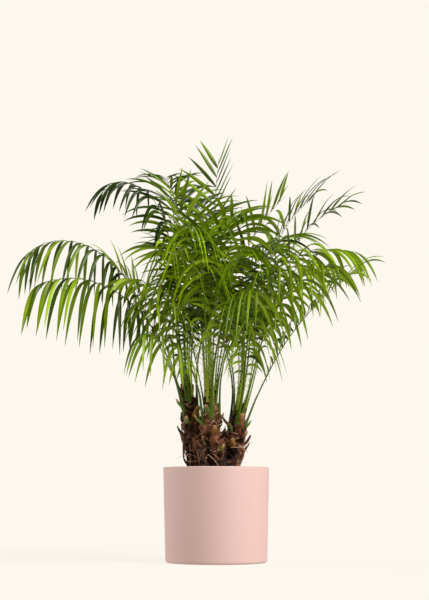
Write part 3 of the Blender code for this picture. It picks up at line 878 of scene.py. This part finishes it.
def bark_shape(stem, stem_order, settings):
    """A stem with the relief of its old leaf bases and a matted, uneven skin."""
    angles = np.linspace(0.0, 2.0 * math.pi, BARK_AROUND, endpoint=False)
    rises = np.linspace(0.0, 1.0, BARK_UP + 1)
    rings = []
    for rise, lifts in zip(rises, base_relief(stem_order, angles, rises, settings.bases)):
        centre, radius = stem_axis(stem, rise), stem_radius(stem, rise)
        sheath = max(radius + SHEATH, SHEATH_RADIUS) - radius
        covered = smooth_step((rise - 0.60) / 0.16)
        torn = smooth_step((rise - 0.9) / 0.1)
        ring = []
        for angle, lift in zip(angles, lifts):
            out = Vector((math.cos(angle), math.sin(angle), 0.0))
            spot = centre + out * radius
            rough = noise.fractal(Vector((spot.x * 60, spot.y * 60, spot.z * 26)), 0.9, 2.2, 4)
            stand = settings.relief * lift * min(1.0, 0.35 + radius / stem.radius)
            reach = radius + sheath * covered + stand - 0.0012 + BARK_ROUGHNESS * rough
            ring.append(centre + out * reach + Vector((0, 0, 0.012 * rough * torn)))
        rings.append(ring)
    return closed(rings, [stem_axis(stem, 0.0), stem_axis(stem, 1.0) - Vector((0, 0, 0.010))])


class PALM_OT_stems(bpy.types.Operator):
    """Raise the three stems, with the relief of their old leaf bases"""

    bl_idname = "palm.stems"
    bl_label = "Stems"

    def execute(self, context):
        trunk = context.scene.palm_trunk
        bark = bark_finish("stem_bark", trunk.dark, trunk.red, trunk.pale)
        for order, (name, stem) in enumerate(STEMS.items()):
            shape = bark_shape(stem, order, trunk)
            add_solid("stem_bark_" + name, shape, bark, ["trunk_" + name], crease=55)
        return {"FINISHED"}


def stub_rings(stem, rise, bearing, length, lean, girths, depth_in=0.45):
    """Rings of points along one cut stalk or dead leaf base, from inside the stem to its slanted cut,
    and its direction. girths are its half width and half depth at the root and at the cut."""
    outwards = heading(bearing)
    side = Vector((-outwards.y, outwards.x, 0.0))
    along = UP * math.cos(math.radians(lean)) + outwards * math.sin(math.radians(lean))
    inner = along.cross(side)
    root = stem_axis(stem, rise) + outwards * stem_radius(stem, rise) * depth_in
    rings = []
    for share in (0.0, 0.2, 0.4, 0.6, 0.8, 0.95, 1.0):
        width, depth = (blend(pair, share) for pair in zip(*girths))
        centre = root + along * length * share + outwards * 0.004 * math.sin(math.pi * share)
        ring = []
        for angle in full_turn(14):
            keel = math.sin(angle) * (1.25 if math.sin(angle) < 0 else 0.75)
            cut = along * 0.0050 * keel * smooth_step(share * 5.0 - 4.0)
            ring.append(centre + side * width * math.cos(angle) + inner * depth * keel + cut)
        rings.append(ring)
    return rings, along


class PALM_OT_stubs(bpy.types.Operator):
    """Set the cut stalks round each stem, green, brown or dried orange, with pale cut faces"""

    bl_idname = "palm.stubs"
    bl_label = "Cut stalks"

    def execute(self, context):
        trunk = context.scene.palm_trunk
        stubs = {"green": [], "brown": [], "orange": []}
        cuts, boots = [], []
        for order, (name, stem) in enumerate(STEMS.items()):
            rng = random.Random(f"{SEED} trunk_{name}")
            for i in range(STUBS_A_STEM):
                rise = blend(STUB_RISES, i / (STUBS_A_STEM - 1))
                length, lean = rng.uniform(*STUB_LENGTH), rng.uniform(*STUB_LEAN)
                tip = (STUB_TIP[0] * rng.uniform(1.1, 1.6), STUB_TIP[1])
                girths = ((STUB_ROOT[0] * 1.15, STUB_ROOT[1]), tip)
                rings, along = stub_rings(stem, rise, 40.0 * order + GOLDEN_ANGLE * i, length, lean, girths)
                if rise < 0.3:
                    tone = ("brown", "green")[(i + order) % 2]
                else:
                    tone = ("green", "green", "orange", "brown")[(i * 7 + order) % 4]
                stubs[tone].append(closed(rings))
                middle = sum(rings[-1], Vector()) / len(rings[-1])
                face = [middle + (p - middle) * 0.82 + along * 0.0005 for p in rings[-1]]
                cuts.append(closed([[p - along * 0.0015 for p in face], face]))
            for i in range(trunk.boots):
                rise = blend(DEAD_RISES, (i + rng.random()) / trunk.boots)
                bearing = GOLDEN_ANGLE * i + rng.uniform(-25, 25)
                width = rng.uniform(0.0065, 0.0115)
                girths = ((width, DEAD_ROOT_DEPTH), (width * rng.uniform(0.45, 0.95), DEAD_TIP_DEPTH))
                bulge = math.exp(-(((rise - DEAD_BULGE) / DEAD_BULGE_SPREAD) ** 2))
                length = rng.uniform(0.016, 0.026) + bulge * rng.uniform(0.002, 0.024)
                lean = rng.uniform(12, 34) + bulge * rng.uniform(10, 42)
                boots.append(closed(stub_rings(stem, rise, bearing, length, lean, girths, 0.8)[0]))
        for tone, shapes in stubs.items():
            skin = strand_finish("stub_" + tone, getattr(trunk, tone), 0.45, 0.62)
            add_solid("stubs_" + tone, joined(shapes), skin)
        dead = bark_finish("dead_base", shade(trunk.dark, 0.9), trunk.red, trunk.pale)
        add_solid("stem_dead_bases", joined(boots), dead)
        add_solid("stub_cuts", joined(cuts), strand_finish("stub_cut", trunk.cut, 0.2, 0.8))
        return {"FINISHED"}


def crossing(direction):
    """A direction square to the one given, for a strand whose own roll can't be seen."""
    other = UP if abs(direction.z) < 0.9 else Vector((1, 0, 0))
    return direction.cross(other).normalized()


def add_strand(guides, points, radius, thin=0.35):
    """A strand through the points, which tapers to both ends. thin is its radius there, as a share."""
    widths, facings = [], []
    for i in range(len(points)):
        ahead = points[min(i + 1, len(points) - 1)] - points[max(i - 1, 0)]
        share = i / (len(points) - 1)
        widths.append(radius * blend((thin, 1.0), math.sin(math.pi * min(1.0, 0.15 + 0.85 * share))))
        facings.append(crossing(ahead.normalized()))
    guides.add(points, widths, facings)


def hair_points(stem, rng):
    """A loose fibre that leaves the matting at a slant and curls back towards the stem."""
    bearing, rise = rng.uniform(0, 360), rng.uniform(0.12, 0.93)
    lean = math.radians(rng.uniform(-60, 60))
    length = rng.uniform(0.016, 0.050)
    curl = rng.uniform(-0.9, 0.9)
    swing = length * math.sin(lean) / max(0.012, stem_radius(stem, rise))
    climb = 0.5 * length * math.cos(lean) / STEM_TALL
    points = []
    for i in range(6):
        share = i / 5
        turn = math.degrees(swing * share) + curl * 14 * share * share
        out = 0.001 + 0.0085 * math.sin(math.pi * share * 0.9) * (0.6 + 0.4 * curl)
        points.append(surface_spot(stem, bearing + turn, rise + climb * share, out))
    return points


def root_points(rng):
    """A root that leaves the foot of a stem, arches out and goes down into the soil."""
    stem = rng.choice(list(STEMS.values()))
    bearing, rise = rng.uniform(0, 360), rng.uniform(0.06, 0.40)
    reach = rng.uniform(0.003, 0.015)
    start = surface_spot(stem, bearing, rise, -0.004)
    swing = rng.uniform(-38, 38)
    points = []
    for i in range(8):
        share = i / 7
        out = reach * math.sin(math.pi * share) ** 1.5 - 0.003 * share
        spot = surface_spot(stem, bearing + swing * share, rise * (1.0 - share), out)
        spot.z = blend((start.z, SOIL_HIGH.z - 0.004), share)
        wander = noise.noise_vector(spot * 42.0 + Vector((bearing, 0, 0))) * 0.004
        points.append(spot + Vector((wander.x, wander.y, 0.0)))
    return points


def straw_points(rng):
    """A dry straw that lies across the front of a stem, and sags or arches a little."""
    stem = rng.choice(list(STEMS.values()))
    bearing, rise = rng.uniform(190, 350), rng.uniform(0.12, 0.42)
    start = surface_spot(stem, bearing, rise, rng.uniform(0.008, 0.016))
    slope = math.radians(rng.uniform(-50, 50))
    way = Vector((math.cos(slope) * rng.choice((-1, 1)), rng.uniform(-0.1, 0.2), math.sin(slope)))
    length, sag = rng.uniform(0.035, 0.085), rng.uniform(-0.012, 0.016)
    return [
        start + way * length * (k / 6 - 0.5) + UP * sag * math.sin(math.pi * k / 6) for k in range(7)
    ]


def clump_shape():
    """The dark matted mass that fills the gaps between the feet of the stems."""
    rings = []
    for i in range(31):
        share = i / 30
        height = blend((SOIL_HIGH.z - 0.006, STEM_FOOT + CLUMP_TALL), share)
        width = CLUMP_RADIUS * math.sin(math.pi * (0.30 + 0.62 * share)) ** 0.5 + 0.001
        ring = []
        for angle in full_turn(64):
            out = Vector((math.cos(angle), CLUMP_DEPTH_SHARE * math.sin(angle), 0.0)) * width
            spot = CLUMP_CENTRE + out + Vector((0, 0, height))
            ring.append(spot + out.normalized() * noise.fractal(spot * 55.0, 0.8, 2.1, 4) * 0.005)
        rings.append(ring)
    return closed(rings)


class PALM_OT_fibres(bpy.types.Operator):
    """Add the root clump, the roots, the matted fibres and the loose straws"""

    bl_idname = "palm.fibres"
    bl_label = "Roots and fibres"

    def execute(self, context):
        trunk = context.scene.palm_trunk
        peat = bark_finish("clump", shade(trunk.dark, 0.55), shade(trunk.dark, 1.1), trunk.red)
        add_solid("root_clump", clump_shape(), peat, crease=180)

        rng = random.Random(f"{SEED} fibres")
        # Left unseeded, noise_vector gives another field at each start of Blender
        noise.seed_set(SEED)
        reds, tans, darks, browns, straws = (Guides() for _ in range(5))
        for stem in STEMS.values():
            for i in range(trunk.hairs):
                add_strand(reds if i % 3 else tans, hair_points(stem, rng), rng.uniform(0.0004, 0.0009))
        for i in range(trunk.roots):
            add_strand(darks if i % 5 else browns, root_points(rng), rng.uniform(0.0011, 0.0026), 0.8)
        for _ in range(STRAWS):
            add_strand(straws, straw_points(rng), rng.uniform(0.0006, 0.0010), 0.6)
        strand = tree_named("palm strand", strand_tree)
        for name, guides, colour, spread in (
            ("fibres_red", reds, trunk.red, 0.5),
            ("fibres_tan", tans, trunk.straw, 0.3),
            ("roots_dark", darks, trunk.dark, 0.6),
            ("roots_brown", browns, trunk.pale, 0.5),
            ("straws", straws, trunk.straw, 0.25),
        ):
            finish = strand_finish(name, colour, spread, 0.8)
            guides.sweep(name, strand, {"Sides": 5, "Depth": 0.8, "Finish": finish}, "trunk")
        return {"FINISHED"}


def stalk_guide(rib):
    """Points, half widths and facings of a stalk and its rib, from its clasping foot to its tip."""
    points, half_widths, facings = [], [], []
    for below, half, out in OLD_FEET if rib.old else YOUNG_FEET:
        points.append(surface_spot(rib.stem, rib.seat, max(0.2, rib.rise - below), out))
        half_widths.append(half)
        facings.append(-heading(rib.seat))
    for i in range(STALK_SEGMENTS + 1):
        share = (i / STALK_SEGMENTS) ** 1.25
        _, _, upper = rib.directions(share)
        point = rib.at(share) - upper * 0.0012
        if rib.old:
            point += heading(rib.seat) * SHEATH * (1.0 - smooth_step(share / 0.16))
        points.append(point)
        half_widths.append(between(STALK_HALF_WIDTHS, share) * (OLD_THICKER if rib.old else 1.0))
        turn = smooth_step(share / 0.12)
        facings.append((-heading(rib.seat)).lerp(upper, turn).normalized() if turn < 1 else upper)
    return points, half_widths, facings


def thorn_guide(rib, i, rng):
    """Points, half widths and facings of one thorn of a stalk. The thorns lengthen up the stalk."""
    up = i / (THORNS_A_STALK - 1)
    share = blend((0.09, STALK_SHARE), up)
    along, left, upper = rib.directions(share)
    left = left * (1 if i % 2 else -1)
    start = rib.at(share) + left * between(STALK_HALF_WIDTHS, share) * 0.7
    way = (along * 0.8 + left * rng.uniform(0.5, 1.0) + upper * rng.uniform(-0.1, 0.5)).normalized()
    length = blend(THORN_LENGTH, up) * rng.uniform(0.7, 1.2)
    points = [start + way * length * k / 4 - UP * (0.10 * length * (k / 4) ** 2) for k in range(5)]
    return points, [0.0008 * (1.0 - 0.85 * k / 4) for k in range(5)], [crossing(way)] * 5


class PALM_OT_stalks(bpy.types.Operator):
    """Draw out the stalk and rib of every frond, and the thorns on the stalks"""

    bl_idname = "palm.stalks"
    bl_label = "Stalks and ribs"

    def execute(self, context):
        fronds = context.scene.palm_frond
        strand = tree_named("palm strand", strand_tree)
        old, young, thorns = Guides(), Guides(), Guides()
        for name, rib in RIBS.items():
            (old if rib.youth < 0.5 else young).add(*stalk_guide(rib))
            rng = random.Random(f"{SEED} thorns {name}")
            for i in range(THORNS_A_STALK):
                thorns.add(*thorn_guide(rib, i, rng))
        for name, guides, colour, foot in (
            ("stalks_old", old, fronds.stalk, fronds.stalk),
            ("stalks_young", young, fronds.young_rib, fronds.young_stalk),
        ):
            inputs = {"Sides": 10, "Depth": 0.62, "Finish": leaf_finish(name, colour, 0.42, foot)}
            guides.sweep(name, strand, inputs, "frond", list(RIBS))
        inputs = {"Sides": 4, "Depth": 0.7, "Finish": leaf_finish("thorns", fronds.thorn, 0.5)}
        thorns.sweep("thorns", strand, inputs, "frond")
        return {"FINISHED"}


def leaflet_guide(rib, share, side, width, rng):
    """Points, half widths and facings of one leaflet. It leaves the rib at an angle, gives way to its
    weight, and turns a little about its own line."""
    leafy = (share - STALK_SHARE) / (1.0 - STALK_SHARE)
    along, left, upper = rib.directions(share)
    left = left * side
    opening = math.radians(between(LEAFLET_OPENINGS, leafy) + rng.uniform(-1, 1) * LEAFLET_JITTER)
    lift = math.radians(blend(LEAFLET_LIFT, rib.limp) + rng.uniform(-1, 1) * LEAFLET_JITTER)
    start = along * math.cos(opening)
    start += (left * math.cos(lift) + upper * math.sin(lift)) * math.sin(opening)
    limp = blend(LIMP, rib.limp) * between(LIMP_ALONG, leafy) * (1.0 - YOUNG_STIFFER * rib.youth)
    limp *= rng.uniform(*LEAFLET_WEIGHTS)
    full = math.sqrt(min(1.0, rib.frond.length / LEAFLET_FULL_FROND)) * (1.0 - YOUNG_SHORTER * rib.youth**2)
    length = LEAFLET_LONGEST * full * between(LEAFLET_LENGTHS, leafy) * rng.uniform(*LEAFLET_SIZES)
    half = width / 2.0 * rng.uniform(*LEAFLET_WIDTHS) * min(1.0, 0.55 + 2.2 * leafy)
    twist = rng.uniform(-LEAFLET_TURN, LEAFLET_TURN)
    points = [rib.at(share) + left * between(STALK_HALF_WIDTHS, share) * 0.5]
    half_widths, facings = [], []
    for i in range(LEAFLET_SEGMENTS + 1):
        place = i / LEAFLET_SEGMENTS
        direction = (start - UP * (limp * place)).normalized()
        across = (along - direction * along.dot(direction)).normalized()
        facings.append(Quaternion(direction, twist * place) @ (across.cross(direction) * -side))
        half_widths.append(half * between(LEAFLET_OUTLINE, place))
        if i < LEAFLET_SEGMENTS:
            middle = (start - UP * (limp * (i + 0.5) / LEAFLET_SEGMENTS)).normalized()
            points.append(points[-1] + middle * length / LEAFLET_SEGMENTS)
    return points, half_widths, facings


class PALM_OT_leaflets(bpy.types.Operator):
    """Grow the leaflets on both sides of every rib, in five greens, some with a dry tip"""

    bl_idname = "palm.leaflets"
    bl_label = "Leaflets"

    def execute(self, context):
        fronds = context.scene.palm_frond
        leaves = [Guides() for _ in TONES]
        tips = Guides()
        last = LEAFLET_SEGMENTS - 1
        for name, rib in RIBS.items():
            rng = random.Random(f"{SEED} leaflets {name}")
            count = max(8, round(rib.frond.length * (1.0 - STALK_SHARE) / fronds.spacing))
            mood = LEAF_TONES[rib.stem_name] + rng.uniform(-FROND_TONE_RANGE, FROND_TONE_RANGE)
            # Painted light and shade by the frond's length
            mood += between(LENGTH_PAINTED_LIGHT_AND_SHADE, rib.frond.length)
            for i in range(count):
                for side, behind in ((1, 0.0), (-1, LEAFLET_STAGGER)):
                    share = blend((STALK_SHARE, LAST_LEAFLET), (i + behind) / count)
                    guide = leaflet_guide(rib, share, side, fronds.width, rng)
                    # A leaflet's tone: its frond's tone, painted shade by its height, and a random spread
                    light = mood + between(HEIGHT_PAINTED_SHADE, guide[0][0].z) + rng.gauss(0.0, LEAFLET_TONE_SPREAD)
                    if rng.random() < fronds.brown_tips:
                        tips.add(*(values[last:] for values in guide))
                        guide = [values[:last + 1] for values in guide]
                    leaves[min(len(TONES) - 1, max(0, round(light)))].add(*guide)
        blade = tree_named("palm leaflet blade", blade_tree)
        inputs = {"Fold": fronds.fold, "Thickness": 0.14}
        for tone, guides in zip(TONES, leaves):
            colour = getattr(fronds, tone)
            # The darker foot of each leaflet is painted shade near its rib
            inputs["Finish"] = leaf_finish("leaflet_" + tone, colour, 0.28, shade(colour, LEAFLET_ROOT_PAINTED_SHADE))
            guides.sweep("leaflets_" + tone, blade, inputs, "frond", list(RIBS), crease=20)
        inputs["Finish"] = leaf_finish("leaflet_tip", fronds.tip, 0.6)
        tips.sweep("leaflet_tips", blade, inputs, "frond")
        return {"FINISHED"}


def spear_guide(stem, i, rng):
    """Points, half widths and facings of one closed leaflet of a spear, the inner ones higher up."""
    out = heading(GOLDEN_ANGLE * i)
    start = blend((0.0, 0.45), i / (SPEAR_LEAFLETS - 1))
    points, half_widths = [], []
    for k in range(9):
        share = start + (1.0 - start) * 0.97 * k / 8 * rng.uniform(0.97, 1.0)
        rise = (stem_growth(stem) * (1.0 - share) + UP * share) * 0.5 + UP * 0.5
        spread = 0.0032 * math.sin(math.pi * min(1.0, 0.25 + 0.75 * share))
        points.append(Vector(stem.tip) + rise * stem.spear * share + out * spread)
        half_widths.append(0.0034 * math.sin(math.pi * (0.18 + 0.80 * k / 8)) + 0.0002)
    return points, half_widths, [-out] * 9


class PALM_OT_spears(bpy.types.Operator):
    """Stand the closed young leaves at the heart of each stem"""

    bl_idname = "palm.spears"
    bl_label = "Spears"

    def execute(self, context):
        blade = tree_named("palm leaflet blade", blade_tree)
        finish = leaf_finish("spear_leaf", context.scene.palm_frond.young, 0.4)
        for name, stem in STEMS.items():
            rng = random.Random(f"{SEED} spear {name}")
            guides = Guides()
            for i in range(SPEAR_LEAFLETS):
                guides.add(*spear_guide(stem, i, rng))
            inputs = {"Fold": 0.55, "Thickness": 0.3, "Finish": finish}
            guides.sweep("spear_leaf_" + name, blade, inputs, "spear", ["spear_" + name], crease=25)
        return {"FINISHED"}


def stage_finish(name, colour, shadow, light):
    """Paper that shows one even colour under the given light, and takes only a share of a shadow."""
    paper = Finish(name, 0.9)
    grain = paper.noise(3.0, detail=1.0)
    paper.give("Base Color", paper.drift(grain, colour, shadow * 0.995, shadow * 1.005))
    paper.give("Emission Color", colour).give("Emission Strength", 1.0 - shadow * light)
    return paper.give("Specular IOR Level", 0.0).material


def sunlight(context, name, strength, bearing, height, spread):
    """A soft light from far away, at a bearing and height in degrees, and as wide as spread."""
    sun = bpy.data.lights.new(name, "SUN")
    sun.energy, sun.angle = strength, math.radians(spread)
    lamp = bpy.data.objects.new(name, sun)
    towards = heading(bearing) * math.cos(math.radians(height)) + UP * math.sin(math.radians(height))
    lamp.rotation_euler = towards.to_track_quat("Z", "Y").to_euler()
    lamp.location = towards * 4.0
    context.scene.collection.objects.link(lamp)


class PALM_OT_stage(bpy.types.Operator):
    """Lay the pale floor, and set the lights and the camera"""

    bl_idname = "palm.stage"
    bl_label = "Floor, lights and camera"

    def execute(self, context):
        stage = context.scene.palm_stage
        scene = context.scene
        scene.world = bpy.data.worlds.new("studio")
        scene.world.use_nodes = True
        sky = scene.world.node_tree.nodes["Background"]
        sky.inputs["Color"].default_value = (1.0, 1.0, 1.0, 1.0)
        sky.inputs["Strength"].default_value = stage.ambient

        falling = 0.0
        for name, strength, light in (("key", stage.key, KEY), ("fill", stage.fill, FILL)):
            sunlight(context, name, strength, *light)
            falling += strength * math.sin(math.radians(light[1]))
        paper = stage_finish("floor_paper", stage.backdrop, stage.shadow, stage.ambient + falling / math.pi)
        corners = [(x * FLOOR_SIZE, y * FLOOR_SIZE, 0.0) for x, y in ((-1, -1), (1, -1), (1, 1), (-1, 1))]
        floor = bpy.data.objects.new("floor", mesh_from("floor", corners, [(0, 1, 2, 3)], paper))
        glow = stage_finish("backdrop_paper", stage.backdrop, 0.0, 0.0)
        shell = turned(arc((0.0, 0.0), BACKDROP_RADIUS, -88, 88, 24), 48)
        dome = bpy.data.objects.new("backdrop", mesh_from("backdrop", *shell, glow))
        dome.visible_diffuse = dome.visible_glossy = dome.visible_shadow = False
        for piece in (floor, dome):
            scene.collection.objects.link(piece)

        camera_data = bpy.data.cameras.new("camera")
        camera_data.lens, camera_data.sensor_width = stage.lens, 36.0
        camera_data.clip_start, camera_data.clip_end = 0.05, 200.0
        scene.camera = bpy.data.objects.new("camera", camera_data)
        scene.camera.location = (CAMERA_X, -stage.distance, CAMERA_HEIGHT)
        scene.camera.rotation_euler = (math.radians(CAMERA_TILT), 0.0, 0.0)
        scene.collection.objects.link(scene.camera)
        scene.view_settings.view_transform = "Standard"
        return {"FINISHED"}


SETTINGS = {
    "palm_pot": PotSettings,
    "palm_trunk": TrunkSettings,
    "palm_frond": FrondSettings,
    "palm_stage": StageSettings,
}
OPERATORS = {
    "palm_pot": (PALM_OT_pot, PALM_OT_soil),
    "palm_trunk": (PALM_OT_stems, PALM_OT_stubs, PALM_OT_fibres),
    "palm_frond": (PALM_OT_stalks, PALM_OT_leaflets, PALM_OT_spears),
    "palm_stage": (PALM_OT_stage,),
}


class PALM_PT_panel(bpy.types.Panel):
    """The palm's sizes and colours, and a button for each group of pieces"""

    bl_idname = "PALM_PT_panel"
    bl_label = "Potted pygmy date palm"
    bl_space_type = "VIEW_3D"
    bl_region_type = "UI"
    bl_category = "Palm"

    def draw(self, context):
        for settings, operators in OPERATORS.items():
            box = self.layout.box()
            group = getattr(context.scene, settings)
            for name in group.__annotations__:
                box.prop(group, name)
            for operator in operators:
                box.operator(operator.bl_idname)


CLASSES = (*(operator for group in OPERATORS.values() for operator in group), PALM_PT_panel)


def register():
    for name, group in SETTINGS.items():
        bpy.utils.register_class(group)
        setattr(bpy.types.Scene, name, bpy.props.PointerProperty(type=group))
    for part in CLASSES:
        bpy.utils.register_class(part)


def unregister():
    for part in reversed(CLASSES):
        bpy.utils.unregister_class(part)
    for name, group in SETTINGS.items():
        delattr(bpy.types.Scene, name)
        bpy.utils.unregister_class(group)


def main():
    register()
    bpy.ops.palm.pot()
    bpy.ops.palm.soil()
    bpy.ops.palm.stems()
    bpy.ops.palm.stubs()
    bpy.ops.palm.fibres()
    bpy.ops.palm.stalks()
    bpy.ops.palm.leaflets()
    bpy.ops.palm.spears()
    bpy.ops.palm.stage()


if __name__ == "__main__":
    main()
